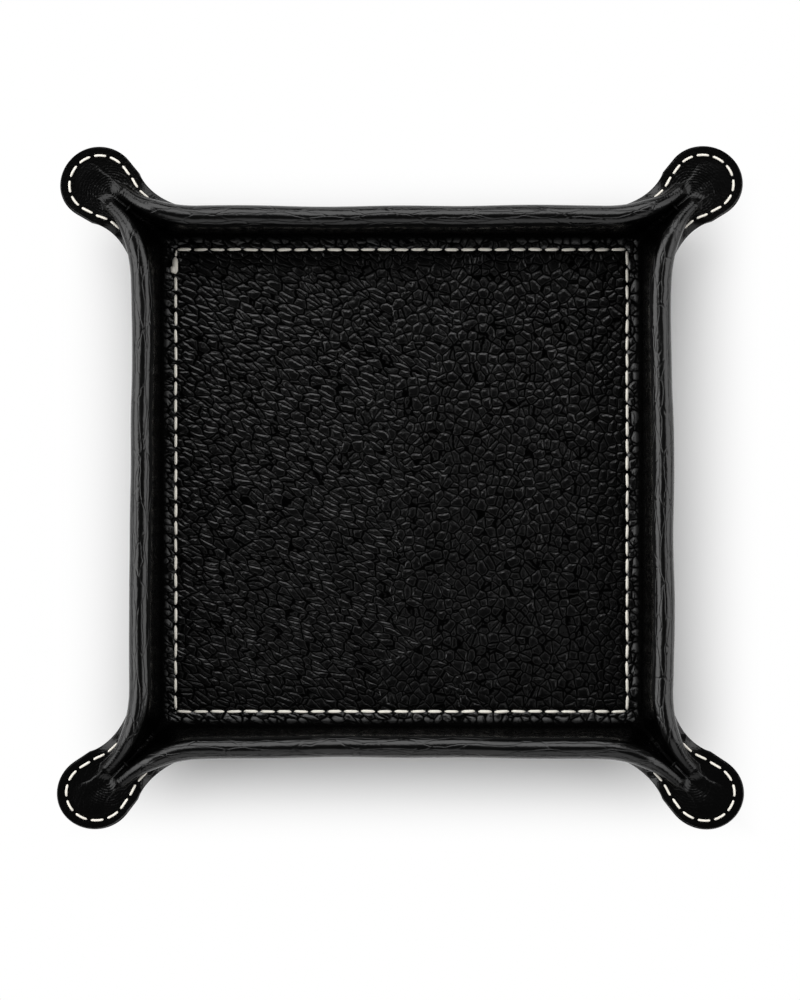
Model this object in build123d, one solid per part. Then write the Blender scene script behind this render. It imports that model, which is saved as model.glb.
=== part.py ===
from build123d import *
from math import asin, atan, atan2, cos, hypot, pi, radians, sin, sqrt, tan
import os

# Square valet tray of two leather sheets sewn together round a base board.
# The walls fold up from the floor, roll outward over the rim and hang down as a cuff.
# Each corner is pinched along its diagonal at a narrow neck, tacked there with
# thread, and flares into a round lobe.  Millimetres, +Z up, resting on z = 0.

# Leather, board and seam allowances
lining_thickness = 0.75
outer_thickness = 0.75
glue_line = 0.3
board_thickness = 1.3
board_play = 0.1
board_corner_radius = 2.0

# Floor and walls
wall_half = 69.2            # centre to the inner face of a wall
foot_radius = 3.0           # fillet between floor and wall
rim_height = 30.0           # table to the crest of the rolled rim
rim_radius = 3.0            # roll of the rim along a wall
hem_drop = 16.0             # crest of the rim down to the hem of the cuff along a wall
hem_width = 3.0             # flat strip that takes the edge seam
hem_fall = 84.0             # degrees that it hangs below level along a wall
cuff_sweep = 2.0            # radius of the slight crease above it

# Pinched corner
bend_radius = 30.0          # plan radius of the rim as it turns outward
neck_roll_radius = 2.1      # roll of the rim where it reaches the lobe
channel_gap = 0.65          # half the open channel between the two rolls
channel_slope = 62.0        # degrees, the gutter climbing from floor to lobe
channel_foot_radius = 4.0
channel_lip_radius = 6.0
twist_lead = 15.88451       # straight wall over which the cuff already turns out
twist_delay = 1.5           # power that holds this turn back at its start
hem_flare = 3.2             # how much further the hem stands out at the neck
hem_widening = 6            # power with which the hem widens towards the neck
crease_gap = 0.2            # between the roll and the hem beside it, at the neck
crease_radius = 0.4         # fold of the crease under the roll

# Lobe
lobe_radius = 10.4
lobe_taper = 3.76729        # straight run of the edge from the neck to the round
lobe_drop = 5.0             # crest of the rim down to the lobe at the neck
lobe_tilt = 3.0             # degrees, the lobe rising outward
lobe_crest = 4.5            # inner end of the fan to its last low ridge
lobe_ridge = 0.15           # height of that ridge
lobe_crease = 7.5           # inner end of the fan to its last crease
fan_length = 5.6            # run of the fan's inner ends along the diagonal
fan_stop = 0.78             # share of the fan after which its inner end stays put
ridge_fade = 4              # power with which the roll dies away in the lobe

# Seams
floor_seam_inset = 1.2      # foot of the wall to the floor seam
floor_pitch = 4.8
edge_pitch = 4.55
edge_margin = 2.1           # seam to the hem's edge
stitch_gap = 0.8            # between neighbouring stitches
thread_width = 1.0
thread_height = 0.4
thread_lift = 0.08          # clear space under a stitch of the floor
edge_lift = 0.3             # and under one of the hem, which twists
groove_clearance = 0.25     # groove under the floor, each side of its stitches
board_setback = 1.5         # floor seam to the edge of the board

# Corner tack
tack_setback = 4.5          # end of the rolled rim back to the tack
tack_drop = 2.4             # below the crest of the rim
tack_diameter = 1.0
tack_clearance = 0.15       # hole round the tack
knot_diameter = 1.6
knot_length = 0.7
knot_clearance = 0.45       # roll to the knot beside it

# Worked out from the sizes above
sheet_thickness = lining_thickness + glue_line + outer_thickness
floor_top = outer_thickness + 2 * board_play + board_thickness + lining_thickness
floor_half = wall_half - foot_radius
floor_seam_half = floor_half - floor_seam_inset
crest_half = wall_half + rim_radius
lobe_height = rim_height - lobe_drop
hem_height = rim_height - hem_drop
neck_crest = channel_gap + neck_roll_radius
bend_centre_out = crest_half + bend_radius
bend_turn = pi / 4
bend_length = bend_radius * bend_turn
bend_start = (crest_half + bend_radius * (1 - cos(bend_turn))
              - bend_radius * sin(bend_turn) - neck_crest * sqrt(2))
twist_start = bend_start - twist_lead
neck_out = bend_centre_out - bend_radius * cos(bend_turn)
neck_along = bend_start + bend_radius * sin(bend_turn)
neck_diagonal = (neck_out + neck_along) / sqrt(2)
corner_turn = atan((floor_half - bend_start) / (bend_centre_out - floor_half))
corner_diagonal = floor_half * sqrt(2)

# Plan of the lobe's edge from the neck: a straight taper, then the round of the lobe
neck_edge = neck_crest + rim_radius + hem_flare
lobe_setback = sqrt(lobe_radius ** 2 + lobe_taper ** 2 - neck_edge ** 2)
lobe_diagonal = neck_diagonal + lobe_setback
taper_angle = asin(lobe_radius / hypot(lobe_setback, neck_edge)) - atan2(neck_edge, lobe_setback)
round_length = lobe_radius * (pi / 2 + taper_angle)
lobe_edge_length = lobe_taper + round_length


def ease(t):
    """Smooth step from 0 to 1."""
    t = max(0.0, min(1.0, t))
    return t * t * (3 - 2 * t)


def plate_height(diagonal):
    """Top of the lobe's plate at a distance along the diagonal."""
    return lobe_height + (diagonal - neck_diagonal) * tan(radians(lobe_tilt))


def channel(diagonal):
    """Height and slope of the gutter's bottom line, from the floor's corner to the lobe.

    A foot arc, a straight climb and a lip arc that ends on the lobe's plate."""
    climb = radians(channel_slope)
    tilt = radians(lobe_tilt)
    foot_end = corner_diagonal + channel_foot_radius * sin(climb)
    foot_rise = floor_top + channel_foot_radius * (1 - cos(climb))
    lip_run = channel_lip_radius * (sin(climb) - sin(tilt))
    lip_rise = channel_lip_radius * (cos(tilt) - cos(climb))
    # the climb's length that brings the lip's end onto the plate
    plate_at_foot = plate_height(foot_end + lip_run)
    straight_run = (plate_at_foot - foot_rise - lip_rise) / (tan(climb) - tan(tilt))
    lip_start = foot_end + straight_run
    lip_end = lip_start + lip_run
    if diagonal <= corner_diagonal:
        return floor_top, 0.0
    if diagonal < foot_end:
        angle = asin((diagonal - corner_diagonal) / channel_foot_radius)
        return floor_top + channel_foot_radius * (1 - cos(angle)), angle
    if diagonal < lip_start:
        return foot_rise + (diagonal - foot_end) * tan(climb), climb
    if diagonal < lip_end:
        angle = asin(sin(tilt) + (lip_end - diagonal) / channel_lip_radius)
        return plate_height(lip_end) - channel_lip_radius * (cos(tilt) - cos(angle)), angle
    return plate_height(diagonal), tilt


def lobe_edge(share):
    """Plan point of the lobe's edge, as (diagonal, across), 0 at the neck and 1 at the tip."""
    run = share * lobe_edge_length
    if run < lobe_taper:
        return neck_diagonal + run * cos(taper_angle), neck_edge + run * sin(taper_angle)
    angle = pi / 2 + taper_angle - (run - lobe_taper) / lobe_radius
    return lobe_diagonal + lobe_radius * cos(angle), lobe_radius * sin(angle)


class Station:
    """One cross-section of the wall, in a vertical plane.

    The section is a chain: foot arc, wall, roll over the crest, fall, crease, hem.
    u runs 0 to 1 along the straight wall, to 2 round the bend, to 3 round the lobe.
    Lengths in the section are measured from its start, on the floor or in the gutter."""

    def __init__(self, u):
        if u <= 1:
            self.wall(u * bend_start, 0.0)
        elif u <= 2:
            self.wall(bend_start, (u - 1) * bend_turn)
        else:
            self.fan(u - 2)

    def wall(self, along, turn):
        """A station on the wall or in the bend, square to the rim's plan."""
        part = turn / bend_turn
        run = along + bend_radius * turn
        crest_out = bend_centre_out - bend_radius * cos(turn)
        crest_along = along + bend_radius * sin(turn)
        if turn <= corner_turn:
            self.crest = (bend_centre_out - floor_half) / cos(turn) - bend_radius
            self.base, self.slope = floor_top, 0.0
            self.foot = foot_radius
            self.board_share = 1.0
        else:
            side = bend_centre_out - bend_start
            self.crest = side / (sin(turn) + cos(turn)) - bend_radius
            self.base, self.slope = channel((crest_out - self.crest * cos(turn)) * sqrt(2))
            inner = (bend_turn - turn) / (bend_turn - corner_turn)
            self.foot = channel_gap + (foot_radius - channel_gap) * inner ** 2
            self.board_share = ease(inner)
        self.start = (crest_out - self.crest * cos(turn), crest_along + self.crest * sin(turn))
        self.heading = (cos(turn), -sin(turn))
        self.tilt = 0.0
        self.start_angle = atan(cos(bend_turn + turn) * tan(self.slope))
        self.crest_height = rim_height - self.base
        neck = ease(part)
        self.roll_in = rim_radius + (neck_roll_radius - rim_radius) * neck
        self.roll_out = self.roll_in
        self.crease = crease_radius + (cuff_sweep - crease_radius) * (1 - neck) ** 2
        rise = ease((run - twist_start) / (bend_start + bend_length - twist_start)) ** twist_delay
        hem_angle = -radians(hem_fall) * (1 - rise ** 2)
        neck_width = rim_radius + hem_flare - neck_roll_radius - crease_gap
        width = hem_width + (neck_width - hem_width) * part ** hem_widening
        hem_out = self.crest + rim_radius + hem_flare * part ** 2
        hem_up = hem_height + (lobe_height - hem_height) * rise - self.base
        self.hem_point = (hem_out, hem_up)
        self.crease_point = (hem_out - width * cos(hem_angle), hem_up - width * sin(hem_angle))

    def fan(self, share):
        """A station in the lobe, one of a fan of planes from the diagonal to the round edge."""
        diagonal = neck_diagonal + fan_length * min(share / fan_stop, 1.0)
        edge_diagonal, edge_across = lobe_edge(share)
        turn = atan2(edge_across, edge_diagonal - diagonal)
        self.start = (diagonal / sqrt(2), diagonal / sqrt(2))
        self.heading = (cos(turn - bend_turn), -sin(turn - bend_turn))
        self.base, self.slope = plate_height(diagonal), radians(lobe_tilt)
        self.board_share = 0.0
        self.tilt = cos(turn) * tan(self.slope)
        self.start_angle = 0.0
        self.crest_height = lobe_ridge + (lobe_drop - lobe_ridge) * (1 - share) ** ridge_fade
        self.crest = neck_crest + (lobe_crest - neck_crest) * share
        neck_crease = neck_crest + neck_roll_radius + crease_gap
        crease_out = neck_crease + (lobe_crease - neck_crease) * share
        # radii keep the share of the fullest S-curve that they have at the neck
        inner = fullest_curve(self.crest, self.crest_height) / fullest_curve(neck_crest, lobe_drop)
        outer = (fullest_curve(crease_out - self.crest, self.crest_height)
                 / fullest_curve(neck_crease - neck_crest, lobe_drop))
        self.foot = channel_gap * inner
        self.roll_in = neck_roll_radius * inner
        self.roll_out = neck_roll_radius * outer
        self.crease = crease_radius * outer
        self.crease_point = (crease_out, 0.0)
        self.hem_point = (hypot(edge_across, edge_diagonal - diagonal), 0.0)

    def chain(self, depth, floor_depth):
        """The section's points at a depth below the top face, arcs as start, middle, end.

        floor_depth is the depth under the floor, which the board makes larger."""
        a0 = self.start_angle
        foot_radius_here = self.foot + depth
        drop = depth / cos(self.slope) + (floor_depth - depth) * self.board_share
        foot = (-foot_radius_here * sin(a0), foot_radius_here * cos(a0) - drop)
        roll_in = (self.crest, self.crest_height - self.roll_in)
        roll_out = (self.crest, self.crest_height - self.roll_out)
        inside = self.roll_in - depth
        outside = self.roll_out - depth
        wall = tangent(foot, foot_radius_here, roll_in, inside, 1)
        hem_angle = atan2(self.hem_point[1] - self.crease_point[1],
                          self.hem_point[0] - self.crease_point[0])
        crease = (self.crease_point[0] - self.crease * sin(hem_angle),
                  self.crease_point[1] + self.crease * cos(hem_angle))
        fall = tangent(roll_out, outside, crease, self.crease + depth, -1)
        hem_end = (self.hem_point[0] + depth * sin(hem_angle),
                   self.hem_point[1] - depth * cos(hem_angle))
        return [
            arc_points(foot, foot_radius_here, a0, wall),
            arc_points(roll_in, -inside, wall, 0.0),
            arc_points(roll_out, -outside, 0.0, fall),
            arc_points(crease, self.crease + depth, fall, hem_angle),
            [hem_end],
        ]

    def place(self, point):
        """A section point in the tray's frame, in the corner where x and y are positive."""
        out, up = point
        x = self.start[0] + out * self.heading[0]
        y = self.start[1] + out * self.heading[1]
        return Vector(x, y, self.base + up + out * self.tilt)

    def edges(self, depth, floor_depth):
        """Arcs and lines of one face of a sheet, from the foot to the hem."""
        chain = [[self.place(point) for point in part] for part in self.chain(depth, floor_depth)]
        foot, roll_in, roll_out, crease, (hem_end,) = chain
        return [
            Edge.make_three_point_arc(*foot),
            Edge.make_line(foot[2], roll_in[0]),
            Edge.make_three_point_arc(*roll_in),
            Edge.make_three_point_arc(*roll_out),
            Edge.make_line(roll_out[2], crease[0]),
            Edge.make_three_point_arc(*crease),
            Edge.make_line(crease[2], hem_end),
        ]

    def seam(self, depth):
        """Point of the edge seam on a face of the sheet, with the ways across and off the hem."""
        crease, (hem_end,) = self.chain(depth, depth)[3:]
        across = (self.place(hem_end) - self.place(crease[2])).normalized()
        along = Vector(-self.heading[1], self.heading[0], 0)
        return self.place(hem_end) - across * edge_margin, across, across.cross(along).normalized()


def arc_points(centre, radius, first, last):
    """Start, middle and end of an arc between two headings; a positive radius turns left."""
    angles = (first, (first + last) / 2, last)
    return [(centre[0] + radius * sin(angle), centre[1] - radius * cos(angle)) for angle in angles]


def tangent(first, first_radius, last, last_radius, side):
    """Heading of the line that leaves one circle and joins one that turns the other way."""
    run = last[0] - first[0]
    rise = last[1] - first[1]
    return atan2(rise, run) + side * asin((first_radius + last_radius) / hypot(run, rise))


def fullest_curve(width, height):
    """Sum of the two radii of the fullest S-curve over a width and a height."""
    return (width ** 2 + height ** 2) / (2 * height)


# One eighth of the tray is lofted through these stations and mirrored.  They lie closer
# round the bend and where the roll dies away in the lobe.
corner_station = 1 + corner_turn / bend_turn
stations = [0, 0.76, 0.9, 1.04, corner_station, 1.67, 2, 2.3, 2.55, 2 + fan_stop, 3]
diagonal_plane = Plane((0, 0, 0), z_dir=(1, -1, 0))


def mirrored(shapes):
    """The shapes of one eighth, with their mirror images in the other seven."""
    shapes = shapes + [shape.mirror(diagonal_plane) for shape in shapes]
    shapes = shapes + [shape.mirror(Plane.YZ) for shape in shapes]
    return shapes + [shape.mirror(Plane.XZ) for shape in shapes]


def floor_face(height):
    """Flat square of the floor, with a corner at each mid-wall so that it meets the walls."""
    a = floor_half
    corners = [(a, 0), (a, a), (0, a), (-a, a), (-a, 0), (-a, -a), (0, -a), (a, -a)]
    return Face(Wire.make_polygon([(x, y, height) for x, y in corners]))


def sheet(top_depth, top_floor, bottom_depth, bottom_floor):
    """One leather sheet between two depths: floor, walls, rolled rim, cuff and lobes."""
    wires = []
    for u in stations:
        station = Station(u)
        top = station.edges(top_depth, top_floor)
        bottom = station.edges(bottom_depth, bottom_floor)
        hem = Edge.make_line(top[-1] @ 1, bottom[-1] @ 1)
        wires.append(Wire(top + [hem] + bottom))
    faces = mirrored(list(Shell.make_loft(wires, ruled=True).faces()))
    floor = [floor_face(floor_top - top_floor), floor_face(floor_top - bottom_floor)]
    return Solid(Shell(floor + faces))


def thread_section(point, across, normal):
    """Ridged cross-section of a thread that lies over a point of a face."""
    half = across * (thread_width / 2)
    return Wire.make_polygon([point - half, point + half, point + normal * thread_height])


def stitch(middle, along, normal, length):
    """One stitch, a short ridged bar."""
    section = thread_section(middle - along * (length / 2), normal.cross(along), normal)
    return Solid.extrude(Face(section), along * length)


def floor_seam():
    """The square run of stitches on the floor."""
    up = Vector(0, 0, 1)
    count = round(2 * floor_seam_half / floor_pitch)
    pitch = 2 * floor_seam_half / count
    stitches = []
    for side in range(4):
        along = Vector(0, 1, 0).rotate(Axis.Z, 90 * side)
        corner = Vector(floor_seam_half, -floor_seam_half, floor_top + thread_lift)
        start = corner.rotate(Axis.Z, 90 * side)
        for i in range(count):
            stitches.append(stitch(start + along * ((i + 0.5) * pitch), along, up, pitch - stitch_gap))
    return Compound(stitches)


def edge_seam():
    """The run of stitches round the whole hem."""
    seam = [Station(u).seam(0.0) for u in stations]
    spans = [(end[0] - start[0]).length for start, end in zip(seam, seam[1:])]
    count = round(sum(spans) / edge_pitch)
    pitch = sum(spans) / count
    stitches = []
    for i in range(count):
        run = (i + 0.5) * pitch
        k = 0
        while run > spans[k]:
            run -= spans[k]
            k += 1
        share = run / spans[k]
        point, _, normal = [a * (1 - share) + b * share for a, b in zip(seam[k], seam[k + 1])]
        along = (seam[k + 1][0] - seam[k][0]).normalized()
        middle = point + normal * edge_lift
        stitches.append(stitch(middle, along, normal.normalized(), pitch - stitch_gap))
    return Compound(mirrored(stitches))


def edge_bobbin():
    """The bobbin thread, one unbroken line along the hidden side of the hem."""
    wires = []
    for u in stations:
        point, across, normal = Station(u).seam(sheet_thickness)
        wires.append(thread_section(point - normal * edge_lift, across, -normal))
    return Solid(Shell(mirrored(list(Shell.make_loft(wires, ruled=True).faces()))))


def floor_ring(width, height):
    """Flat square ring under the floor along its seam, standing on z = 0."""
    outside = 2 * floor_seam_half + width
    inside = 2 * floor_seam_half - width
    low = (Align.CENTER, Align.CENTER, Align.MIN)
    return Box(outside, outside, height, align=low) - Box(inside, inside, height, align=low)


def corner_rod(corner, radius, half_length, sides=6):
    """A prism across one corner's diagonal, through both rolls at the neck.

    The radius is that of the round thread that just fits inside it."""
    diagonal = (neck_diagonal - tack_setback) / sqrt(2)
    x, y = diagonal * corner[0], diagonal * corner[1]
    centre = Vector(x, y, rim_height - tack_drop)
    across = Vector(-y, x, 0).normalized()
    rod_plane = Plane(centre - across * half_length, x_dir=(0, 0, 1), z_dir=across)
    return extrude(rod_plane * RegularPolygon(radius, sides, major_radius=False), 2 * half_length)


def roll_reach():
    """Diagonal to the outer face of the roll at the tack."""
    turn = bend_turn - asin(tack_setback / bend_radius)
    station = Station(1 + turn / bend_turn)
    crest_across = neck_crest + bend_radius * (1 - cos(bend_turn - turn))
    return crest_across + station.roll_out


def corner_tack(corner):
    """Thread through the neck with a knot at each end, in the crease beside the roll."""
    inner = roll_reach() + knot_clearance
    outer = inner + knot_length
    knots = corner_rod(corner, knot_diameter / 2, outer) - corner_rod(corner, knot_diameter, inner)
    return corner_rod(corner, tack_diameter / 2, outer) + knots


def base_board():
    """Stiff board between the sheets, inside the floor seam."""
    side = 2 * (floor_seam_half - board_setback)
    sketch = RectangleRounded(side, side, board_corner_radius)
    return Pos(0, 0, outer_thickness + board_play) * extrude(sketch, board_thickness)


corner_signs = {
    "front_left": (-1, -1),
    "front_right": (1, -1),
    "back_left": (-1, 1),
    "back_right": (1, 1),
}
groove = floor_ring(thread_width + 2 * groove_clearance, thread_height + 2 * thread_lift)
outer_top = lining_thickness + glue_line
outer_top_floor = floor_top - outer_thickness

lining = sheet(0.0, 0.0, lining_thickness, lining_thickness)
outer = sheet(outer_top, outer_top_floor, sheet_thickness, floor_top) - groove
for signs in corner_signs.values():
    # an awl leaves a diamond, here wide enough for the thread and its clearance
    hole = corner_rod(signs, tack_diameter / 2 + tack_clearance, neck_edge, sides=4)
    lining -= hole
    outer -= hole

nodes = {
    "lining_leather": lining,
    "outer_leather": outer,
    "base_board": base_board(),
    "floor_needle_thread": floor_seam(),
    "floor_bobbin_thread": Pos(0, 0, thread_lift) * floor_ring(thread_width, thread_height),
    "edge_needle_thread": edge_seam(),
    "edge_bobbin_thread": edge_bobbin(),
}
for name, signs in corner_signs.items():
    nodes["corner_tack_" + name] = corner_tack(signs)

os.makedirs("parts", exist_ok=True)
for name, shape in nodes.items():
    export_step(shape, f"parts/{name}.step")
    print(name, len(shape.solids()), "solids", round(shape.volume, 1), "mm3")
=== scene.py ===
import bpy
import numpy as np
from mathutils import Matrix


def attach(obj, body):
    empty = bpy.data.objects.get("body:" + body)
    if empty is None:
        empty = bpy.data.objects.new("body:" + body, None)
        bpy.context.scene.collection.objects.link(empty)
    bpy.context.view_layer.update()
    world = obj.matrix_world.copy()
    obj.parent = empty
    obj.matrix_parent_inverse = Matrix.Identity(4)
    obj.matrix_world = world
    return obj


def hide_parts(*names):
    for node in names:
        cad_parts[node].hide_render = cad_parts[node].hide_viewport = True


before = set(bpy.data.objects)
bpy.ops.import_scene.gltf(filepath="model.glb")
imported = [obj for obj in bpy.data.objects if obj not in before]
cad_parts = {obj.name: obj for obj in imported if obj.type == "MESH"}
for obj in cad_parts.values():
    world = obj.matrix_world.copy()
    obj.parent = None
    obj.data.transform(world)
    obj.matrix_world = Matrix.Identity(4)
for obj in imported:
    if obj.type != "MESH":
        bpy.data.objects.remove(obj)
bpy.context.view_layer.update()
print("frame loaded:", len(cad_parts), "nodes")

# All lengths are millimetres until a mesh is written, where they become metres.
millimetre = 0.001

# Sizes of the folded leather and its seams. Most are the frame's, but hemFlare, neckSink, riseEase, the
# ends of the rolls, edgeMargin, and the sizes of the stitches and tacks are this scene's own
tray = {
    "thickness": 0.75, "glueLine": 0.3, "floorTop": 3.0,
    "wallHalf": 69.2, "footRadius": 3.0, "rimHeight": 30.0, "rimRadius": 3.0,
    "hemHeight": 14.0, "hemWidth": 3.0, "hemFall": 84.0, "cuffSweep": 2.0,
}
corner = {
    "bendRadius": 30.0, "neckRollRadius": 2.1, "channelGap": 0.65, "channelSlope": 62.0,
    "footRadius": 4.0, "lipRadius": 6.0, "twistStart": 40.0, "hemFlare": 3.7, "neckSink": 3.0,
    "hemWidening": 6, "creaseGap": 0.2, "creaseRadius": 0.4, "sinkStart": 0.5, "riseEase": 1.8,
}
lobe = {
    "radius": 10.4, "setback": 6.5, "height": 25.0, "tilt": 3.0, "crest": 4.5,
    "ridge": 0.15, "crease": 7.5, "fanLength": 5.6, "besideLead": 1.1, "besideLeast": 0.25, "creaseRun": 0.3,
}
# How a rolled rim ends on its lobe: share of the lobe over which it drops, and the power of that
fingers = {"crisp": {"end": 0.34, "power": 2.6}, "long": {"end": 0.55, "power": 3.2}}
fingersRound = [("crisp", "crisp"), ("long", "crisp"), ("crisp", "crisp"), ("crisp", "crisp")]
seam = {
    "floorInset": 1.2, "floorPitch": 4.8, "floorGap": 0.75, "floorWidth": 0.86,
    "edgePitch": 4.55, "edgeMargin": 2.5, "edgeGap": 0.35, "edgeWidth": 0.66,
    "height": 0.5, "dive": 0.45, "lift": 0.08, "bobbinLevel": 0.3,
    "holeDepth": 0.4, "holeWidth": 0.65, "grooveDepth": 0.16, "grooveWidth": 1.1,
    "bobbinDepth": 0.56, "bobbinWidth": 0.7,
}

eighthTurn = np.pi / 4
floorHalf = tray["wallHalf"] - tray["footRadius"]
crestHalf = tray["wallHalf"] + tray["rimRadius"]
neckCrest = corner["channelGap"] + corner["neckRollRadius"]
bendCentreOut = crestHalf + corner["bendRadius"]
bendLength = corner["bendRadius"] * eighthTurn
bendStart = (crestHalf + corner["bendRadius"] * (1 - np.cos(eighthTurn))
             - corner["bendRadius"] * np.sin(eighthTurn) - neckCrest * np.sqrt(2))
neckDiagonal = (bendCentreOut - corner["bendRadius"] * np.cos(eighthTurn)
                + bendStart + corner["bendRadius"] * np.sin(eighthTurn)) / np.sqrt(2)
lobeDiagonal = neckDiagonal + lobe["setback"]
cornerDiagonal = floorHalf * np.sqrt(2)
floorSeamHalf = floorHalf - seam["floorInset"]
cornerTurn = np.arctan((floorHalf - bendStart) / (bendCentreOut - floorHalf))
neckEdge = neckCrest + tray["rimRadius"] + corner["hemFlare"]
taperAngle = (np.arcsin(lobe["radius"] / np.hypot(lobe["setback"], neckEdge))
              - np.arctan2(neckEdge, lobe["setback"]))
taperLength = np.sqrt(lobe["setback"] ** 2 + neckEdge ** 2 - lobe["radius"] ** 2)
roundLength = lobe["radius"] * (np.pi / 2 + taperAngle)
sheetThickness = 2 * tray["thickness"] + tray["glueLine"]
neckDrop = tray["rimHeight"] - lobe["height"]
sunkDrop = neckDrop - corner["neckSink"]
neckFall = corner["neckRollRadius"] + corner["creaseGap"]


def ease(t):
    # smooth step: 3 t squared less 2 t cubed, held between 0 and 1
    t = np.clip(t, 0, 1)
    return t * t * (3 - 2 * t)


def plateHeight(diagonal):
    # a plane that rises outward by the lobe's tilt
    return lobe["height"] + (diagonal - neckDiagonal) * np.tan(np.radians(lobe["tilt"]))


def channelLine(diagonal):
    # height and slope of the gutter: foot arc, straight climb, lip arc, then the plate
    climb, tilt = np.radians(corner["channelSlope"]), np.radians(lobe["tilt"])
    footEnd = cornerDiagonal + corner["footRadius"] * np.sin(climb)
    footRise = tray["floorTop"] + corner["footRadius"] * (1 - np.cos(climb))
    lipRun = corner["lipRadius"] * (np.sin(climb) - np.sin(tilt))
    lipRise = corner["lipRadius"] * (np.cos(tilt) - np.cos(climb))
    straightRun = (plateHeight(footEnd + lipRun) - footRise - lipRise) / (np.tan(climb) - np.tan(tilt))
    lipStart = footEnd + straightRun
    lipEnd = lipStart + lipRun
    footAngle = np.arcsin(np.clip((diagonal - cornerDiagonal) / corner["footRadius"], 0, np.sin(climb)))
    lipSine = np.sin(tilt) + (lipEnd - diagonal) / corner["lipRadius"]
    lipAngle = np.arcsin(np.clip(lipSine, np.sin(tilt), np.sin(climb)))
    footHeight = tray["floorTop"] + corner["footRadius"] * (1 - np.cos(footAngle))
    climbHeight = footRise + (diagonal - footEnd) * np.tan(climb)
    lipHeight = plateHeight(lipEnd) - corner["lipRadius"] * (np.cos(tilt) - np.cos(lipAngle))
    parts = [diagonal < footEnd, diagonal < lipStart, diagonal < lipEnd]
    height = np.select(parts, [footHeight, climbHeight, lipHeight], plateHeight(diagonal))
    slope = np.select(parts, [footAngle, climb + 0 * diagonal, lipAngle], tilt)
    return height, slope


def lobeEdge(share):
    # plan of the lobe's edge: a straight taper off the neck, then a circle to the tip
    run = share * (taperLength + roundLength)
    angle = np.pi / 2 + taperAngle - (run - taperLength) / lobe["radius"]
    onTaper = run < taperLength
    diagonal = np.where(onTaper, neckDiagonal + run * np.cos(taperAngle),
                        lobeDiagonal + lobe["radius"] * np.cos(angle))
    across = np.where(onTaper, neckEdge + run * np.sin(taperAngle), lobe["radius"] * np.sin(angle))
    return diagonal, across


def fullestCurve(width, height):
    # sum of the two radii of the fullest S-curve over a width and a height
    return (width ** 2 + height ** 2) / (2 * height)


def wallStations(u):
    # cross-sections square to the rim's plan: straight to u = 1, then round a circle to u = 2
    along = np.minimum(u, 1) * bendStart
    turn = np.clip(u - 1, 0, 1) * eighthTurn
    part = turn / eighthTurn
    run = along + corner["bendRadius"] * turn
    crestOut = bendCentreOut - corner["bendRadius"] * np.cos(turn)
    crestAlong = along + corner["bendRadius"] * np.sin(turn)
    beforeCorner = turn <= cornerTurn
    crest = np.where(beforeCorner,
                     (bendCentreOut - floorHalf) / np.cos(turn) - corner["bendRadius"],
                     (bendCentreOut - bendStart) / (np.sin(turn) + np.cos(turn)) - corner["bendRadius"])
    startX, startY = crestOut - crest * np.cos(turn), crestAlong + crest * np.sin(turn)
    gutter, slope = channelLine(np.maximum(startX * np.sqrt(2), cornerDiagonal))
    inner = np.clip((eighthTurn - turn) / (eighthTurn - cornerTurn), 0, 1)
    base = np.where(beforeCorner, tray["floorTop"], gutter)
    slope = np.where(beforeCorner, 0, slope)
    neck = ease(part)
    roll = tray["rimRadius"] + (corner["neckRollRadius"] - tray["rimRadius"]) * neck
    # the rim sinks towards the neck, and its curves tighten to suit the height that is left
    sink = ease((part - corner["sinkStart"]) / (1 - corner["sinkStart"]))
    tightIn = 1 - sink * (1 - fullestCurve(neckCrest, sunkDrop) / fullestCurve(neckCrest, neckDrop))
    tightOut = 1 - sink * (1 - fullestCurve(neckFall, sunkDrop) / fullestCurve(neckFall, neckDrop))
    rise = ease((run - corner["twistStart"]) / (bendStart + bendLength - corner["twistStart"]))
    rise = rise ** corner["riseEase"]
    hemAngle = -np.radians(tray["hemFall"]) * (1 - rise ** 2)
    neckWidth = tray["rimRadius"] + corner["hemFlare"] - corner["neckRollRadius"] - corner["creaseGap"]
    width = tray["hemWidth"] + (neckWidth - tray["hemWidth"]) * part ** corner["hemWidening"]
    hemOut = crest + roll + (tray["rimRadius"] - corner["neckRollRadius"] + corner["hemFlare"]) * part ** 2
    hemUp = tray["hemHeight"] + (lobe["height"] - tray["hemHeight"]) * rise - base
    return dict(
        startX=startX, startY=startY, headX=np.cos(turn), headY=-np.sin(turn), base=base, slope=slope,
        tilt=0 * u, startAngle=np.arctan(np.cos(eighthTurn + turn) * np.tan(slope)),
        foot=tightIn * np.where(beforeCorner, tray["footRadius"],
                                corner["channelGap"] + (tray["footRadius"] - corner["channelGap"]) * inner ** 2),
        boardShare=np.where(beforeCorner, 1, ease(inner)),
        crest=crest, crestHeight=tray["rimHeight"] - corner["neckSink"] * sink - base,
        rollIn=tightIn * roll, rollOut=tightOut * roll,
        crease=tightOut * (corner["creaseRadius"] + (tray["cuffSweep"] - corner["creaseRadius"]) * (1 - neck) ** 2),
        creaseOut=hemOut - width * np.cos(hemAngle), creaseUp=hemUp - width * np.sin(hemAngle),
        hemOut=hemOut, hemUp=hemUp)


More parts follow.
